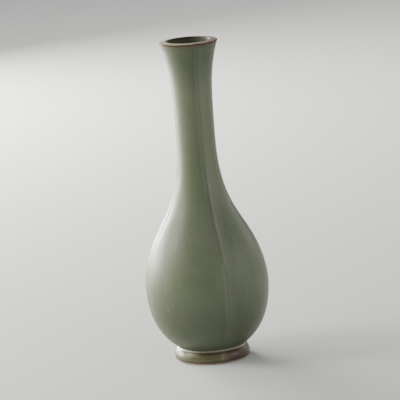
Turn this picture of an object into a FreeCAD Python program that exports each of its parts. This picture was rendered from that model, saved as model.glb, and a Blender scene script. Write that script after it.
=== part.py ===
import FreeCAD, Part
import os

import Sketcher

# A four-lobed stoneware sake bottle with a celadon glaze, built up from its clay pieces and its glaze coats.
#
# Frame: millimetres, +Z up, origin at the centre of the foot's resting plane. The lobes face +X, +Y, -X and
# -Y, and the creases between them stand on the diagonals.
#
# Every level section is four equal arcs. A section's reach is the distance from the bottle's axis to the
# middle of a lobe, and every arc of a lobe is centred on the lobe's own axis, which stands lobe_offset out
# from the bottle's. So a lobe is part of one turned surface, and two lobes meet in a shallow crease.

# --- Driving dimensions, mm -----------------------------------------------------------------------------

DIMS = {
    "lobe_offset": 1.6,
    "lobe_count": 4,
    "outer_coat": 0.5,  # celadon glaze outside, measured level
    "inner_coat": 0.4,  # celadon glaze inside
    "wall_clay": 3.2,  # moulded wall, measured level
    "wedge_side": 60.0,  # half the side of the square that trims a lobe, larger than any reach
    "ring_top": 9.2,  # top of the foot ring and of the floor slab, where the walls stand
    "slab_under": 5.7,  # underside of the floor slab
    "slab_reach": 21.6,  # edge of the floor slab, in the foot ring's rebate
    "foot_bore": 19.8,  # reach of the hollow under the floor slab
    "axis_top": 220.0,  # upper end of the line that marks a lobe's axis in its sketch
}

# Each outline is a list of (height, reach). A spline's entries are its control points.
OUTLINES = {
    # outside of the glazed wall, from the foot ring to the lip ring
    "wall": [(9.2, 23.4), (14.0, 30.0), (24.0, 37.5), (38.0, 41.5), (54.0, 43.0), (70.0, 40.0), (86.0, 33.5),
             (102.0, 23.5), (118.0, 17.0), (138.0, 13.5), (160.0, 13.5), (184.0, 13.5), (203.0, 15.0),
             (215.0, 18.5)],
    # clay of the lip, from the outside of its seat over the rim to the mouth
    "rim": [(215.0, 18.0), (217.0, 18.7), (218.6, 19.4), (219.2, 18.6), (219.5, 16.6), (218.6, 15.0),
            (217.0, 14.8), (215.0, 14.8)],
    # the glaze over that clay, from outside to mouth
    "rimcoat": [(215.0, 18.5), (216.2, 18.9), (217.4, 19.2), (218.4, 19.6), (219.1, 20.0), (219.4, 19.8),
                (219.5, 19.0), (219.8, 17.4), (220.05, 15.8), (220.0, 14.8), (219.0, 14.5), (217.2, 14.4),
                (215.0, 14.4)],
    # clay of the foot ring, outside, from the resting plane up; the glaze starts at its fourth point
    "foot": [(0.0, 25.0), (0.4, 25.6), (1.2, 25.7), (1.3, 25.3), (2.6, 25.5), (4.8, 25.3), (7.0, 24.2),
             (8.2, 23.4), (9.2, 22.9)],
    # outside of the glaze on the foot ring
    "footcoat": [(1.3, 25.7), (1.6, 26.1), (3.0, 26.2), (5.0, 25.9), (7.0, 24.9), (8.0, 24.3), (8.6, 23.5),
                 (9.2, 23.3)],
}

LOBE_NAMES = ["right", "back", "left", "front"]  # facing +X, +Y, -X and -Y

doc = FreeCAD.newDocument("sake_bottle")
sheet = doc.addObject("Spreadsheet::Sheet", "Dims")


def fill_sheet():
    """Gives every driving dimension a cell, with its name as the alias."""
    for name, outline in OUTLINES.items():
        for number, (height, reach) in enumerate(outline, start=1):
            DIMS[f"{name}_height_{number}"] = height
            DIMS[f"{name}_reach_{number}"] = reach
    for row, (alias, value) in enumerate(DIMS.items(), start=1):
        sheet.set(f"A{row}", alias)
        sheet.set(f"B{row}", str(value))
        sheet.setAlias(f"B{row}", alias)
    doc.recompute()


# A length is written as the aliases it adds up, such as "wall_reach_1 -outer_coat".


def number(length):
    return sum(-DIMS[term[1:]] if term[0] == "-" else DIMS[term] for term in length.split())


def formula(length):
    return " ".join(f"- Dims.{t[1:]}" if t[0] == "-" else f"+ Dims.{t}" for t in length.split()).lstrip("+ ")


def points_of(name, less=""):
    """The points of an outline, as (height, reach) lengths, moved inwards by the lengths in less."""
    count = len(OUTLINES[name])
    return [(f"{name}_height_{i}", f"{name}_reach_{i} {less}".strip()) for i in range(1, count + 1)]


# --- Sketches and lobed forms ---------------------------------------------------------------------------


def plane(body, role):
    return [feature for feature in body.Origin.OriginFeatures if feature.Role == role][0]


def bind(sketch, kind, *where, length):
    """Adds one constraint driven by the sheet."""
    index = sketch.addConstraint(Sketcher.Constraint(kind, *where, number(length)))
    sketch.setExpression(f"Constraints[{index}]", formula(length))


def vector(point):
    height, reach = point
    return FreeCAD.Vector(number(reach), number(height), 0)


def add_line(sketch, start, end):
    return sketch.addGeometry(Part.LineSegment(vector(start), vector(end)), False)


def add_spline(sketch, points):
    """A cubic spline whose control points are driven by the sheet."""
    poles = [vector(point) for point in points]
    spline = sketch.addGeometry(Part.BSplineCurve(poles, None, None, False, 3, None, False), False)
    first = None
    for i, (height, reach) in enumerate(points):
        pole = sketch.addGeometry(Part.Circle(poles[i], FreeCAD.Vector(0, 0, 1), 1.0), True)
        if first is None:
            first = pole
            sketch.addConstraint(Sketcher.Constraint("Weight", pole, 1.0))
        else:
            sketch.addConstraint(Sketcher.Constraint("Equal", first, pole))
        align = "InternalAlignment:Sketcher::BSplineControlPoint"
        sketch.addConstraint(Sketcher.Constraint(align, pole, 3, spline, i))
        bind(sketch, "DistanceX", -1, 1, pole, 3, length=reach)
        bind(sketch, "DistanceY", -1, 1, pole, 3, length=height)
    return spline


def profile_sketch(body, pieces):
    """Draws a closed profile. Each piece is a list of points: two or more for a chain of lines, or the control
    points of a spline when it is marked so. Straight lines close the gaps between pieces."""
    sketch = doc.addObject("Sketcher::SketchObject", body.Name + "_profile")
    body.addObject(sketch)
    sketch.AttachmentSupport = [(plane(body, "XZ_Plane"), "")]
    sketch.MapMode = "FlatFace"

    edges = []
    for i, (kind, points) in enumerate(pieces):
        if kind == "spline":
            edges.append((add_spline(sketch, points), points[0], points[-1], True))
        else:
            for start, end in zip(points, points[1:]):
                edges.append((add_line(sketch, start, end), start, end, False))
        next_start = pieces[(i + 1) % len(pieces)][1][0]
        if points[-1] != next_start:
            edges.append((add_line(sketch, points[-1], next_start), points[-1], next_start, False))

    for i, (edge, start, _, is_spline) in enumerate(edges):
        before, _, _, before_is_spline = edges[i - 1]
        sketch.addConstraint(Sketcher.Constraint("Coincident", before, 2, edge, 1))
        if not is_spline and not before_is_spline:
            bind(sketch, "DistanceX", -1, 1, edge, 1, length=start[1])
            bind(sketch, "DistanceY", -1, 1, edge, 1, length=start[0])

    # the lobe's own axis
    axis = add_line(sketch, ("slab_under", "lobe_offset"), ("axis_top", "lobe_offset"))
    sketch.setConstruction(axis, True)
    bind(sketch, "DistanceX", -1, 1, axis, 1, length="lobe_offset")
    bind(sketch, "DistanceX", -1, 1, axis, 2, length="lobe_offset")
    bind(sketch, "DistanceY", -1, 1, axis, 1, length="slab_under")
    bind(sketch, "DistanceY", -1, 1, axis, 2, length="axis_top")
    return sketch


def trim_sketch(body):
    """A square with its right-hand quarter left out, which trims a turned form down to one lobe."""
    sketch = doc.addObject("Sketcher::SketchObject", body.Name + "_trim")
    body.addObject(sketch)
    sketch.AttachmentSupport = [(plane(body, "XY_Plane"), "")]
    sketch.MapMode = "FlatFace"
    side = DIMS["wedge_side"]
    corners = [(0, 0), (side, side), (-side, side), (-side, -side), (side, -side)]
    for i, (x, y) in enumerate(corners):
        to_x, to_y = corners[(i + 1) % len(corners)]
        sketch.addGeometry(Part.LineSegment(FreeCAD.Vector(x, y, 0), FreeCAD.Vector(to_x, to_y, 0)), False)
    for i in range(len(corners)):
        sketch.addConstraint(Sketcher.Constraint("Coincident", i, 2, (i + 1) % len(corners), 1))
    sketch.addConstraint(Sketcher.Constraint("Coincident", 0, 1, -1, 1))
    for edge, (x, y) in list(enumerate(corners))[1:]:
        for kind, sign in (("DistanceX", x), ("DistanceY", y)):
            ends = (-1, 1, edge, 1) if sign > 0 else (edge, 1, -1, 1)
            bind(sketch, kind, *ends, length="wedge_side")
    return sketch


def lobed_body(name, pieces, whole=True):
    """Turns a profile about a lobe's axis, trims it to that lobe and, for a whole ring, repeats the lobe."""
    body = doc.addObject("PartDesign::Body", name)
    body.Label = name
    profile = profile_sketch(body, pieces)

    turned = doc.addObject("PartDesign::Revolution", name + "_turned")
    body.addObject(turned)
    turned.Profile = profile
    turned.ReferenceAxis = (profile, ["Axis0"])
    turned.Angle = 360.0

    lobe = doc.addObject("PartDesign::Pocket", name + "_lobe")
    body.addObject(lobe)
    lobe.Profile = trim_sketch(body)
    lobe.Type = "ThroughAll"
    lobe.SideType = "Symmetric"
    body.Tip = lobe

    if whole:
        doc.recompute()
        ring = doc.addObject("PartDesign::PolarPattern", name + "_ring")
        body.addObject(ring)
        ring.TransformMode = "Whole shape"
        ring.Axis = (plane(body, "Z_Axis"), [""])
        ring.Angle = 360.0
        ring.setExpression("Occurrences", "Dims.lobe_count")
        body.Tip = ring
    return body


# --- The bottle -----------------------------------------------------------------------------------------

fill_sheet()
nodes = []

wall_clay = points_of("wall", "-outer_coat")
wall_inside = points_of("wall", "-outer_coat -wall_clay")
coat_inside = points_of("wall", "-outer_coat -wall_clay -inner_coat")

# Foot ring, with the rebate that holds the floor slab
foot_clay = points_of("foot")
nodes.append(lobed_body("foot_ring", [
    ("lines", foot_clay),
    ("lines", [("ring_top", "slab_reach"), ("slab_under", "slab_reach"), ("slab_under", "foot_bore"),
               ("foot_height_1", "foot_bore")]),
]))

# Iron glaze on the outside of the foot ring
nodes.append(lobed_body("foot_glaze", [
    ("spline", points_of("footcoat")),
    ("lines", foot_clay[:2:-1]),
]))

# Floor slab
nodes.append(lobed_body("floor_slab", [
    ("lines", [("slab_under", "lobe_offset"), ("slab_under", "slab_reach"), ("ring_top", "slab_reach"),
               ("ring_top", "lobe_offset")]),
]))

# The four moulded walls, luted to each other along the creases
for turn, lobe_name in enumerate(LOBE_NAMES):
    panel = lobed_body(f"wall_panel_{lobe_name}", [
        ("spline", wall_clay),
        ("spline", wall_inside[::-1]),
    ], whole=False)
    panel.Placement.Rotation.Axis = FreeCAD.Vector(0, 0, 1)
    panel.setExpression("Placement.Rotation.Angle", f"{turn} * 360deg / Dims.lobe_count")
    nodes.append(panel)

# Lip ring on top of the walls
nodes.append(lobed_body("lip_ring", [("spline", points_of("rim"))]))

# Iron glaze over the lip
nodes.append(lobed_body("lip_glaze", [
    ("spline", points_of("rimcoat")),
    ("spline", points_of("rim")[::-1]),
]))

# Celadon coat outside
nodes.append(lobed_body("outer_glaze", [
    ("spline", points_of("wall")),
    ("spline", wall_clay[::-1]),
]))

# Celadon coat inside, on the floor slab and up the walls
pool_edge = ("ring_top inner_coat", coat_inside[0][1])
nodes.append(lobed_body("inner_glaze", [
    ("lines", [("ring_top", "lobe_offset"), wall_inside[0]]),
    ("spline", wall_inside),
    ("spline", coat_inside[:0:-1] + [pool_edge]),
    ("lines", [pool_edge, ("ring_top inner_coat", "lobe_offset")]),
]))

doc.recompute()

# --- Checks and files -----------------------------------------------------------------------------------

for thing in doc.Objects:
    if {"Invalid", "Error"} & set(thing.State):
        raise RuntimeError(f"{thing.Label}: {thing.State}")

os.makedirs("parts", exist_ok=True)
for node in nodes:
    shape = node.Shape
    if shape.isNull() or not shape.isValid() or len(shape.Solids) != 1:
        raise RuntimeError(f"{node.Label} is not one valid solid")
    print(f"{node.Label}: {shape.Volume / 1000:.2f} ml, z {shape.BoundBox.ZMin:.2f} to {shape.BoundBox.ZMax:.2f}")
    shape.exportStep(f"parts/{node.Label}.step")
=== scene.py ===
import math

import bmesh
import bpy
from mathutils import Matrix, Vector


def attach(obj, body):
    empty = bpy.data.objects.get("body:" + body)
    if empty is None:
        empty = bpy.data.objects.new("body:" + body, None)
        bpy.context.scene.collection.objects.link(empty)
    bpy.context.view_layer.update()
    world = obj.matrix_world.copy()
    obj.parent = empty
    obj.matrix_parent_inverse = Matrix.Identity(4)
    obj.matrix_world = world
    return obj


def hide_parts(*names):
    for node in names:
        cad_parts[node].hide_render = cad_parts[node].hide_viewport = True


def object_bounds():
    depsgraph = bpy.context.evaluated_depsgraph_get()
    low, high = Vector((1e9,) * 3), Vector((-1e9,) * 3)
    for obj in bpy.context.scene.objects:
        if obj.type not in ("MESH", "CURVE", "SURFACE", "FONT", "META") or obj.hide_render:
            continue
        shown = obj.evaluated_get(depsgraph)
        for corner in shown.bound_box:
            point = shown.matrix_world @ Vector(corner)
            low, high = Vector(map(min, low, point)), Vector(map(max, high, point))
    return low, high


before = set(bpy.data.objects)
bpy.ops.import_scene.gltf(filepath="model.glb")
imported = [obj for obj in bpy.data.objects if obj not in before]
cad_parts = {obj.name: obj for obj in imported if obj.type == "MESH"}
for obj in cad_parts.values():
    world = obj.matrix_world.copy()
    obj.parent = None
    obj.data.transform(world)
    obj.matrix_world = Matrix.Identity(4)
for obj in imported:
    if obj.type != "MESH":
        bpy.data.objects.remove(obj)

# A four-lobed celadon sake bottle: its glaze coats, its foot and the light on it.
#
# Metres, +Z up, origin at the centre of the foot's resting plane. The lobes face +X, +Y, -X and -Y, and the
# creases between them stand on the diagonals. A reach is the distance from the bottle's axis to the middle of
# a lobe. Outlines are written in millimetres, as (height, reach).

CAD_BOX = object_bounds()

MM = 0.001
LOBE_OFFSET = 1.6 * MM  # a lobe's own axis, out from the bottle's
LOBE_TURN = math.pi / 2

WALL = [(9.2, 23.4), (14.0, 30.0), (24.0, 37.5), (38.0, 41.5), (54.0, 43.0), (70.0, 40.0), (86.0, 33.5),
        (102.0, 23.5), (118.0, 17.0), (138.0, 13.5), (160.0, 13.5), (184.0, 13.5), (203.0, 15.0),
        (215.0, 18.5)]
RIM_CLAY = [(215.0, 18.0), (217.0, 18.7), (218.6, 19.4), (219.2, 18.6), (219.5, 16.6), (218.6, 15.0),
            (217.0, 14.8), (215.0, 14.8)]
RIM = [(215.0, 18.5), (216.2, 18.9), (217.4, 19.2), (218.4, 19.6), (219.1, 20.0), (219.4, 19.8),
       (219.5, 19.0), (219.8, 17.4), (220.05, 15.8), (220.0, 14.8), (219.0, 14.5), (217.2, 14.4),
       (215.0, 14.4)]
FOOT_CLAY = [(1.3, 25.3), (2.6, 25.5), (4.8, 25.3), (7.0, 24.2), (8.2, 23.4), (9.2, 22.9)]
FOOT = [(1.3, 25.7), (1.6, 26.1), (3.0, 26.2), (5.0, 25.9), (7.0, 24.9), (8.0, 24.3), (8.6, 23.5),
        (9.2, 23.3)]

# Thicknesses, in millimetres, as the outlines
OUTER_COAT = 0.5
WALL_CLAY = 3.2
INNER_COAT = 0.4
INSET = 0.01  # keeps the turned surfaces just inside the facets of the CAD pieces

GROOVE_WIDTH = 1.1 * MM  # of the groove pressed along a crease
GLAZE_ROUNDING = 0.6 * MM  # how far from a crease the glaze fills it in
FULL_OFFSET_REACH = 8 * MM  # nearer to the bottle's axis than this, the lobes' offset fades out

AROUND_OUTSIDE = 72  # angles in a lobe, on the coats that show
AROUND_INSIDE = 32
CROWDING = 1.7  # how strongly the angles draw together towards the creases
SHARP_EDGE = math.radians(50)
SAME_POINT = 1e-7  # vertices this near to each other are merged
NO_LENGTH = 1e-8  # edges this short are dissolved


# --- Curves and sections ----------------------------------------------------------------------------------


def spline(points, count):
    """Points along the clamped uniform cubic B-spline with these control points."""
    spans = len(points) - 3
    knots = [0] * 3 + list(range(spans + 1)) + [spans] * 3
    samples = []
    just_inside = spans - 1e-9  # the last sample still falls in the last span
    for step in range(count + 1):
        at = min(spans * step / count, just_inside)
        span = 3 + int(at)
        local = [Vector(points[i]) for i in range(span - 3, span + 1)]
        for level in range(1, 4):
            for i in range(3, level - 1, -1):
                low = knots[span - 3 + i]
                high = knots[span + 1 + i - level]
                share = (at - low) / (high - low)
                local[i] = local[i - 1].lerp(local[i], share)
        samples.append(tuple(local[3]))
    return samples


def inwards(points, by):
    return [(height, reach - by) for height, reach in points]


def lobe_angles(per_lobe):
    """Angles round the bottle, closer together towards the creases."""
    angles = []
    for lobe in range(4):
        for i in range(per_lobe):
            t = 2 * i / per_lobe - 1
            spread = math.copysign(1 - (1 - abs(t)) ** CROWDING, t)
            angles.append((lobe + spread / 2) * LOBE_TURN)
    return angles


def section_radius(reach, angle):
    """Distance from the axis to the four-arc section, at an angle from +X."""
    turn = (angle + LOBE_TURN / 2) % LOBE_TURN - LOBE_TURN / 2
    offset = LOBE_OFFSET * min(1.0, reach / FULL_OFFSET_REACH)
    arc_radius = reach - offset
    return offset * math.cos(turn) + math.sqrt(max(0.0, arc_radius ** 2 - (offset * math.sin(turn)) ** 2))


def past_crease(radius, angle):
    """Distance round the surface from the nearest crease, anticlockwise from above."""
    turn = (angle + LOBE_TURN / 2) % LOBE_TURN
    return radius * (turn if turn < LOBE_TURN / 2 else turn - LOBE_TURN)


def bell(x, width):
    return math.exp(-((x / width) ** 2))


def crease_depth(height):
    """The groove's depth under the line where two lobes meet: deepest on the shoulder and on the foot."""
    return (0.06 + 0.22 * bell(height - 0.105, 0.028) + 0.25 * bell(height - 0.005, 0.003)) * MM


def glazed_radius(height, reach, angle):
    """The section's radius with the glaze's rounding in the crease and the groove pressed along it."""
    radius = section_radius(reach, angle)
    away = abs(past_crease(radius, angle))
    slope = LOBE_OFFSET * math.sin(LOBE_TURN / 2) / radius
    rounding = slope * (math.hypot(away, GLAZE_ROUNDING) - away)
    return radius + rounding - crease_depth(height) * bell(away, GROOVE_WIDTH)


# --- Turned pieces ------------------------------------------------------------------------------------------


def turned_piece(name, loop, per_lobe, glazed=()):
    """A closed solid turned from a closed loop of (height, reach), following the four-arc section. The
    samples whose index is in glazed get the glaze's own surface. Every vertex keeps its distance past the
    nearest crease, in millimetres, for the materials."""
    angles = lobe_angles(per_lobe)
    glazed = set(glazed)
    rings = len(loop)
    verts = []
    for angle in angles:
        for i, (height_mm, reach_mm) in enumerate(loop):
            height, reach = height_mm * MM, (reach_mm - INSET) * MM
            radius = glazed_radius(height, reach, angle) if i in glazed else section_radius(reach, angle)
            verts.append((radius * math.cos(angle), radius * math.sin(angle), height))
    faces = []
    for j in range(len(angles)):
        k = (j + 1) % len(angles)
        for i in range(rings):
            n = (i + 1) % rings
            faces.append((j * rings + i, k * rings + i, k * rings + n, j * rings + n))

    mesh = bpy.data.meshes.new(name)
    mesh.from_pydata(verts, [], faces)
    work = bmesh.new()
    work.from_mesh(mesh)
    bmesh.ops.remove_doubles(work, verts=work.verts, dist=SAME_POINT)
    bmesh.ops.dissolve_degenerate(work, edges=work.edges, dist=NO_LENGTH)
    bmesh.ops.recalc_face_normals(work, faces=work.faces)
    work.to_mesh(mesh)
    work.free()
    mesh.set_sharp_from_angle(angle=SHARP_EDGE)

    past = mesh.attributes.new("past_crease", "FLOAT", "POINT")
    for vertex, value in zip(mesh.vertices, past.data):
        x, y, _ = vertex.co
        value.value = past_crease(math.hypot(x, y), math.atan2(y, x)) / MM

    piece = bpy.data.objects.new(name, mesh)
    bpy.context.scene.collection.objects.link(piece)
    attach(piece, "root")
    return piece


# --- Materials ----------------------------------------------------------------------------------------------


class Surface:
    """A material with one Principled shader, and short ways to add the nodes that drive it."""

    def __init__(self, name):
        self.material = bpy.data.materials.new(name)
        self.material.use_nodes = True
        self.tree = self.material.node_tree
        self.shader = next(n for n in self.tree.nodes if n.type == "BSDF_PRINCIPLED")
        self.coords = self.node("ShaderNodeTexCoord").outputs["Object"]
        self.height = self.node("ShaderNodeSeparateXYZ", {0: self.coords}).outputs["Z"]

    def node(self, kind, inputs=None, **settings):
        node = self.tree.nodes.new(kind)
        for key, value in settings.items():
            setattr(node, key, value)
        for key, value in (inputs or {}).items():
            self.plug(node.inputs[key], value)
        return node

    def plug(self, socket, value):
        if isinstance(value, bpy.types.NodeSocket):
            self.tree.links.new(value, socket)
        else:
            socket.default_value = value

    def set(self, **sockets):
        for key, value in sockets.items():
            self.plug(self.shader.inputs[key.replace("_", " ")], value)

    def noise(self, scale, detail=3.0, stretch=(1, 1, 1), roughness=0.5):
        moved = self.node("ShaderNodeMapping", {"Vector": self.coords, "Scale": stretch}).outputs[0]
        node = self.node("ShaderNodeTexNoise", {"Vector": moved, "Scale": scale, "Detail": detail,
                                                "Roughness": roughness})
        return node.outputs["Fac"]

    def math(self, operation, a, b=0.0):
        return self.node("ShaderNodeMath", {0: a, 1: b}, operation=operation).outputs[0]

    def distance(self, point):
        """Distance from a fixed point."""
        node = self.node("ShaderNodeVectorMath", {0: self.coords, 1: point}, operation="DISTANCE")
        return node.outputs["Value"]

    def steps(self, value, low, high, to_low=0.0, to_high=1.0):
        """Maps value smoothly, so that low becomes to_low and high becomes to_high."""
        node = self.node("ShaderNodeMapRange", {0: value, 1: low, 2: high, 3: to_low, 4: to_high},
                         interpolation_type="SMOOTHSTEP")
        return node.outputs[0]

    def band(self, value, middle, reach):
        """1 where value is middle, smoothly down to 0 at reach from it."""
        away = self.math("ABSOLUTE", self.math("SUBTRACT", value, middle))
        return self.steps(away, 0.0, reach, 1.0, 0.0)

    def mix(self, share, a, b):
        """Colour a, or b where share is 1."""
        node = self.node("ShaderNodeMix", {0: share}, data_type="RGBA")
        for socket, value in ((node.inputs[6], a), (node.inputs[7], b)):
            self.plug(socket, (*value, 1.0) if isinstance(value, tuple) else value)
        return node.outputs[2]

    def attribute(self, name):
        return self.node("ShaderNodeAttribute", attribute_name=name).outputs["Fac"]

    def bump(self, height, distance, strength, under=None):
        inputs = {"Height": height, "Distance": distance, "Strength": strength}
        if under is not None:
            inputs["Normal"] = under
        return self.node("ShaderNodeBump", inputs).outputs[0]


def linear(red, green, blue):
    """Linear colour from 0 to 255 display values."""
    def one(value):
        value /= 255
        return value / 12.92 if value <= 0.04045 else ((value + 0.055) / 1.055) ** 2.4
    return (one(red), one(green), one(blue))


SHADE_GREEN = linear(34, 47, 24)  # painted shade: the celadon's dark green, low on the body, under the lip and by the creases
PALE_GLAZE_AND_HIGHLIGHT = linear(160, 162, 140)  # pale celadon: the speck's colour, thinner glaze along the creases low down, and painted highlight beside the creases
SPECK = (-0.0096, -0.0404, 0.0415)  # one small pale mark in the glaze
SHOULDER_STARTS = (0.062, 0.080)  # heights over which the belly turns into the shoulder


def celadon_colour(s):
    """The glaze's colour: clouded, streaked downwards and faintly flecked, with one pale speck. Darker and
    greener low on the body and up under the lip, as painted shade. By each crease, painted highlight and
    painted shade (see below); below the shoulder, a pale line along each crease, thinner glaze with painted
    highlight."""
    body = linear(105, 115, 89)
    cloud = s.noise(28, 3)
    body = s.mix(s.steps(cloud, 0.35, 0.7, 0.0, 0.35), body, linear(113, 123, 96))
    streak = s.noise(260, 3, stretch=(1, 1, 0.06))
    body = s.mix(s.steps(streak, 0.4, 0.75, 0.0, 0.30), body, linear(122, 128, 104))
    mottle = s.noise(420, 4, roughness=0.6)
    body = s.mix(s.steps(mottle, 0.42, 0.7, 0.0, 0.30), body, linear(126, 130, 110))
    fleck = s.noise(2600, 2)
    body = s.mix(s.steps(fleck, 0.52, 0.75, 0.0, 0.3), body, linear(138, 142, 122))

    past = s.attribute("past_crease")
    above_belly = s.steps(s.height, *SHOULDER_STARTS)
    on_shoulder = s.math("MULTIPLY", above_belly, s.steps(s.height, 0.115, 0.150, 1.0, 0.12))
    patchy = s.steps(s.noise(24, 1), 0.35, 0.6, 0.3, 1.0)
    # Painted highlight: a lighter, patchy band just anticlockwise of each crease.
    beside = s.math("MULTIPLY", s.steps(past, 0.5, 1.8), s.steps(past, 2.0, 9.0, 0.32, 0.0))
    body = s.mix(s.math("MULTIPLY", beside, patchy), body, linear(140, 144, 126))
    # Painted shade: a darker band 3 mm clockwise of each crease, stronger up the neck.
    before = s.math("MULTIPLY", s.band(past, -3.0, 1.8), s.steps(s.height, 0.08, 0.15, 0.05, 0.17))
    body = s.mix(s.math("MULTIPLY", before, patchy), body, SHADE_GREEN)
    # On the shoulder, painted shade in each crease and a painted highlight line 2 mm anticlockwise of it.
    groove = s.math("MULTIPLY", s.band(past, -0.2, 1.3), on_shoulder)
    body = s.mix(s.math("MULTIPLY", groove, 0.22), body, SHADE_GREEN)
    crease_highlight = s.math("MULTIPLY", s.band(past, 2.0, 1.3), on_shoulder)
    body = s.mix(s.math("MULTIPLY", crease_highlight, 0.22), body, PALE_GLAZE_AND_HIGHLIGHT)
    # Below the shoulder, a pale line along each crease: thinner glaze there, with painted highlight.
    low_line = s.math("MULTIPLY", s.band(past, 0.0, 0.9), s.steps(s.height, *SHOULDER_STARTS, 0.30, 0.0))
    body = s.mix(low_line, body, PALE_GLAZE_AND_HIGHLIGHT)
    body = s.mix(s.steps(s.distance(SPECK), 0.0002, 0.0011, 0.5, 0.0), body, PALE_GLAZE_AND_HIGHLIGHT)

    # Painted shade: darker and greener low on the belly and up under the flared lip.
    low_painted_shade = s.steps(s.height, 0.022, 0.070, 0.60, 0.0)
    under_lip_painted_shade = s.steps(s.height, 0.180, 0.212, 0.0, 0.46)
    painted_shade = s.math("ADD", low_painted_shade, under_lip_painted_shade)
    return s.mix(painted_shade, body, SHADE_GREEN)


def celadon():
    s = Surface("celadon_satin")
    colour = celadon_colour(s)
    waves = s.bump(s.noise(55, 2), 0.0004, 0.35)
    s.set(Base_Color=colour, Roughness=s.steps(s.noise(60, 3), 0.3, 0.7, 0.36, 0.46), IOR=1.5)
    s.set(Normal=s.bump(s.noise(900, 2), 0.00004, 0.5, under=waves))
    return s.material


def inner_celadon():
    s = Surface("celadon_inside")
    colour = celadon_colour(s)
    s.set(Base_Color=colour, Roughness=0.3)
    s.set(Normal=s.bump(s.noise(300, 3), 0.0001, 0.4))
    return s.material


def lip_glaze():
    """Iron glaze: pale where it runs thin over the top, from beige to pinkish, with a dark line just under
    it, then ochre into celadon. Inside the mouth the dark line and the celadon follow at once."""
    to_ochre, to_dark, to_pale = (0.2167, 0.2175), (0.2181, 0.2186), (0.2193, 0.21955)
    to_dark_inside = (0.2178, 0.2194)
    top_starts = (0.0146, 0.0154)  # distances from the axis

    s = Surface("lip_iron_glaze")
    wander = s.math("SUBTRACT", s.noise(170, 2), 0.5)
    height = s.math("ADD", s.height, s.math("MULTIPLY", wander, 0.0018))
    edge = s.math("ADD", s.height, s.math("MULTIPLY", wander, 0.0004))
    flat = s.node("ShaderNodeVectorMath", {0: s.coords, 1: (1, 1, 0)}, operation="MULTIPLY").outputs[0]
    from_axis = s.node("ShaderNodeVectorMath", {0: flat}, operation="LENGTH").outputs["Value"]
    across = s.node("ShaderNodeSeparateXYZ", {0: s.coords}).outputs["X"]

    dark = linear(64, 48, 34)
    ochre = s.mix(s.noise(400, 3), linear(108, 95, 68), linear(80, 70, 50))
    outside = s.mix(s.steps(height, *to_ochre), celadon_colour(s), ochre)
    outside = s.mix(s.steps(height, *to_dark), outside, dark)
    inside = s.mix(s.steps(height, *to_dark_inside), celadon_colour(s), dark)
    on_top = s.steps(from_axis, *top_starts)
    beige = s.mix(s.noise(220, 3), linear(226, 218, 196), linear(190, 176, 150))
    pink = s.mix(s.noise(220, 3), linear(218, 200, 190), linear(172, 148, 134))
    pale = s.mix(s.steps(across, -0.002, 0.012), beige, pink)
    outside = s.mix(s.steps(edge, *to_pale), outside, pale)
    colour = s.mix(on_top, inside, outside)
    s.set(Base_Color=colour, Roughness=0.55, Normal=s.bump(s.noise(500, 3), 0.00006, 0.5))
    return s.material


def foot_glaze():
    """Glossy iron glaze: a pale, rubbed line along its top edge over a dark one, green where it lies thickly
    on one side, brown elsewhere, and dark red-brown where it thins towards the bare clay. A pale patch by
    each crease is painted highlight."""
    to_bare_clay, to_dark_line, to_worn_line = (0.0016, 0.0030), (0.0060, 0.0071), (0.0080, 0.0085)

    s = Surface("foot_iron_glaze")
    parts = s.node("ShaderNodeSeparateXYZ", {0: s.coords}).outputs
    wander = s.math("MULTIPLY", s.math("SUBTRACT", s.noise(130, 2), 0.5), 0.0012)
    height = s.math("ADD", s.height, wander)
    facing = s.math("ADD", s.math("MULTIPLY", parts["X"], -0.7), s.math("MULTIPLY", parts["Y"], -0.7))
    patch = s.math("ADD", s.math("MULTIPLY", facing, 40.0), s.noise(60, 2))
    green = s.mix(s.noise(300, 3), linear(110, 112, 80), linear(88, 90, 60))
    brown = s.mix(s.noise(260, 3, stretch=(1, 1, 3)), linear(104, 84, 66), linear(74, 56, 44))
    colour = s.mix(s.steps(patch, 0.4, 0.65), brown, green)
    colour = s.mix(s.steps(height, *to_dark_line, 0.0, 0.9), colour, linear(76, 58, 42))
    colour = s.mix(s.steps(height, *to_bare_clay, 1.0, 0.0), colour, linear(58, 38, 28))
    # Painted highlight: a pale, patchy mark by each crease on the foot.
    by_crease = s.band(s.attribute("past_crease"), 0.0, 3.0)
    foot_crease_highlight = s.math("MULTIPLY", by_crease, s.steps(s.noise(240, 2), 0.4, 0.6))
    colour = s.mix(s.math("MULTIPLY", foot_crease_highlight, 0.4), colour, linear(158, 148, 134))
    colour = s.mix(s.steps(s.height, *to_worn_line), colour, linear(178, 174, 152))
    s.set(Base_Color=colour, Roughness=0.3, Normal=s.bump(s.noise(160, 3), 0.0004, 0.5))
    return s.material


def stoneware():
    s = Surface("bare_stoneware")
    colour = s.mix(s.noise(700, 4), linear(180, 162, 152), linear(142, 124, 114))
    s.set(Base_Color=colour, Roughness=0.85, Normal=s.bump(s.noise(1500, 4), 0.0001, 0.6))
    return s.material


# --- The bottle ---------------------------------------------------------------------------------------------


def dress(piece, material, slot, *nodes):
    piece.data.materials.append(material)
    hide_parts(*nodes)


def make_outer_coat(material):
    outside = spline(WALL, 300)
    inside = spline(inwards(WALL, OUTER_COAT), 60)[::-1]
    piece = turned_piece("celadon_coat", outside + inside, AROUND_OUTSIDE, glazed=range(len(outside)))
    dress(piece, material, "celadon", "outer_glaze")


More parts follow.
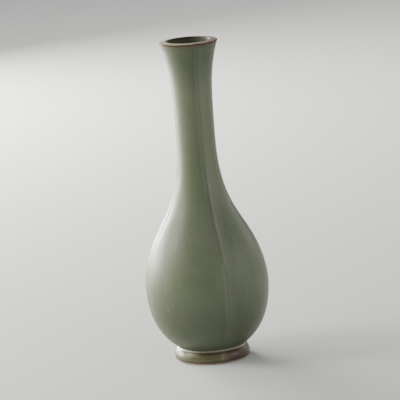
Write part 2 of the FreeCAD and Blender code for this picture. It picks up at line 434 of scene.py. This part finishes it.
def make_inner_coat(material):
    clay = inwards(WALL, OUTER_COAT + WALL_CLAY)
    face = inwards(clay, INNER_COAT)
    floor = WALL[0][0]
    face[0] = (floor + INNER_COAT, face[0][1])
    halfway = 10.0
    against = [(floor, 0.0)] + spline(clay, 90)
    wet = spline(face, 120)[::-1] + [(floor + INNER_COAT, halfway), (floor + INNER_COAT, 0.0)]
    piece = turned_piece("celadon_lining", against + wet, AROUND_INSIDE)
    dress(piece, material, "inner_celadon", "inner_glaze")


def make_lip_coat(material):
    outside = spline(RIM, 72)
    inside = spline(RIM_CLAY, 30)[::-1]
    piece = turned_piece("lip_coat", outside + inside, AROUND_OUTSIDE, glazed=range(len(outside)))
    dress(piece, material, "lip_iron_glaze", "lip_glaze")


def make_foot_coat(material):
    outside = spline(FOOT, 40)
    piece = turned_piece("foot_coat", outside + FOOT_CLAY[::-1], AROUND_OUTSIDE, glazed=range(len(outside)))
    dress(piece, material, "foot_iron_glaze", "foot_glaze")


def make_bottle():
    make_outer_coat(celadon())
    make_inner_coat(inner_celadon())
    make_lip_coat(lip_glaze())
    make_foot_coat(foot_glaze())
    clay = stoneware()
    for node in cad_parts.values():
        if not node.hide_render:
            node.data.materials.clear()
            node.data.materials.append(clay)


# --- Camera, floor and light --------------------------------------------------------------------------------

HEIGHT = CAD_BOX[1].z
EYE_AZIMUTH = math.radians(28)  # from -Y towards +X
EYE_ELEVATION = math.radians(11.6)
EYE_ROLL = math.radians(4.5)
EYE_DISTANCE = 2.0  # metres
LENS = 264.5  # mm, on a film 36 mm wide
FILM_WIDTH = 36
AIM = 0.0004  # the bottle stands this far right of the picture's centre and above it


def direction(azimuth, elevation):
    """From the bottle outwards. Azimuth 0 is -Y, and 90 degrees is +X."""
    flat = math.cos(elevation)
    return Vector((math.sin(azimuth) * flat, -math.cos(azimuth) * flat, math.sin(elevation)))


def make_camera():
    back = direction(EYE_AZIMUTH, EYE_ELEVATION)
    level_right = Vector((math.cos(EYE_AZIMUTH), math.sin(EYE_AZIMUTH), 0))
    level_up = back.cross(level_right)
    right = level_right * math.cos(EYE_ROLL) - level_up * math.sin(EYE_ROLL)
    up = level_up * math.cos(EYE_ROLL) + level_right * math.sin(EYE_ROLL)
    data = bpy.data.cameras.new("camera")
    data.lens = LENS
    data.sensor_width = FILM_WIDTH
    data.clip_start = 0.05
    data.clip_end = 50
    camera = bpy.data.objects.new("camera", data)
    bpy.context.scene.collection.objects.link(camera)
    middle = Vector((0, 0, HEIGHT / 2))
    place = middle + back * EYE_DISTANCE - (right + up) * AIM
    camera.matrix_world = Matrix.Translation(place) @ Matrix((right, up, back)).transposed().to_4x4()
    bpy.context.scene.camera = camera


# Soft boxes round the bottle: azimuth from the camera's, to the right, and elevation, in degrees, width and
# height in metres, and watts. The large window stands behind the bottle on its left.
BOXES = {
    "window_far": (-150, 8, 0.6, 0.45, 35),
    "window": (-120, 8, 0.6, 0.45, 18),
    "window_near": (-90, 8, 0.6, 0.45, 3),
    "window_top": (-90, 30, 0.6, 0.5, 12),
    "left": (-60, 30, 0.6, 0.5, 2.5),
    "right_front": (35, 14, 0.6, 0.6, 1.5),
    "right": (70, 14, 0.6, 0.6, 2.5),
    "right_side": (100, 14, 0.6, 0.6, 1),
    "right_back": (130, 14, 0.6, 0.6, 2),
    "high_left": (-30, 55, 0.8, 0.6, 0.8),
    "high_right": (30, 55, 0.8, 0.6, 2.2),
}
BOX_DISTANCE = 1.4
WINDOW_COLOUR = (1.0, 1.0, 0.9)

# Boxes that light the far floor and face away from the bottle, in metres
FAR_WATTS = {0: 10, 90: 10, 180: 24, 270: 10}  # by azimuth from the camera's
FAR_OUT = 1.2  # from the bottle's axis to a box
FAR_UP = 1.4
FAR_AIM = 2.6  # from the axis to the place on the floor that the box faces
FAR_WIDTH = 3.0
FAR_HEIGHT = 0.6

WORLD_STRENGTH = 0.02
FLOOR_REACH = 8.0
FLOOR_COLOUR = (0.85, 0.85, 0.84, 1.0)


def make_light(name, place, aim, width, tall, watts):
    """A soft box at place that faces aim."""
    data = bpy.data.lights.new(name, "AREA")
    data.shape = "RECTANGLE"
    if name.startswith("window"):
        data.color = WINDOW_COLOUR
    data.size, data.size_y = width, tall
    data.energy = watts
    light = bpy.data.objects.new(name, data)
    bpy.context.scene.collection.objects.link(light)
    light.location = place
    light.rotation_mode = "QUATERNION"
    light.rotation_quaternion = (place - aim).to_track_quat("Z", "Y")


def make_lights():
    middle = Vector((0, 0, HEIGHT / 2))
    for name, (azimuth, elevation, width, tall, watts) in BOXES.items():
        outwards = direction(EYE_AZIMUTH + math.radians(azimuth), math.radians(elevation))
        make_light(name, middle + outwards * BOX_DISTANCE, middle, width, tall, watts)
    for azimuth, watts in FAR_WATTS.items():
        out = direction(EYE_AZIMUTH + math.radians(azimuth), 0)
        place = out * FAR_OUT + Vector((0, 0, FAR_UP))
        make_light(f"backdrop_{azimuth}", place, out * FAR_AIM, FAR_WIDTH, FAR_HEIGHT, watts)


def make_floor():
    mesh = bpy.data.meshes.new("floor")
    corners = [(x * FLOOR_REACH, y * FLOOR_REACH, 0) for x, y in ((-1, -1), (1, -1), (1, 1), (-1, 1))]
    mesh.from_pydata(corners, [], [(0, 1, 2, 3)])
    floor = bpy.data.objects.new("floor", mesh)
    bpy.context.scene.collection.objects.link(floor)
    s = Surface("floor_paper")
    s.set(Base_Color=FLOOR_COLOUR, Roughness=0.9)
    mesh.materials.append(s.material)


def make_stage():
    make_camera()
    make_floor()
    make_lights()
    world = bpy.data.worlds.new("studio")
    world.use_nodes = True
    background = world.node_tree.nodes["Background"]
    background.inputs["Color"].default_value = (1, 1, 1, 1)
    background.inputs["Strength"].default_value = WORLD_STRENGTH
    bpy.context.scene.world = world


make_bottle()
make_stage()
